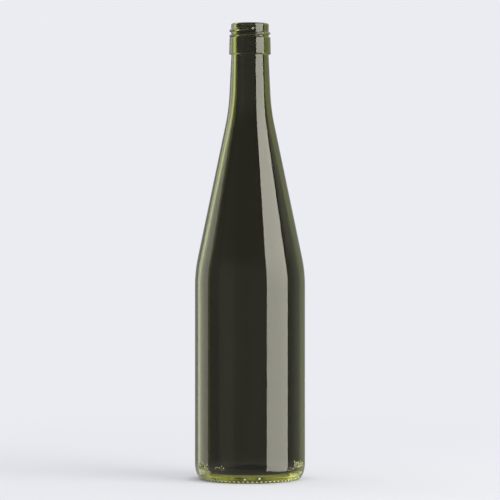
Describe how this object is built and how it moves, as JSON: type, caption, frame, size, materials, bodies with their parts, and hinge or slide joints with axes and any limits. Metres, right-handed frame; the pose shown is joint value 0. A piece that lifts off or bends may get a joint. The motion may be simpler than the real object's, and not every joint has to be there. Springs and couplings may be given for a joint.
{
  "type": "rhine wine bottle",
  "caption": "Tall slender glass bottle with a long neck, sloping shoulders and an open screw-thread mouth, for holding and pouring wine.",
  "frame": {"origin": "centre of the bearing ring, on the plane the bottle stands on", "axes": "+Z is the axis of revolution, up through the mouth; the upper end of the thread lies close to -Y"},
  "size_m": [0.0772, 0.0772, 0.3196],
  "materials": {
    "bottle_glass": "glossy dark olive-green glass"
  },
  "bodies": {
    "root": {"bottle": "bottle_glass"}
  },
  "joints": []
}
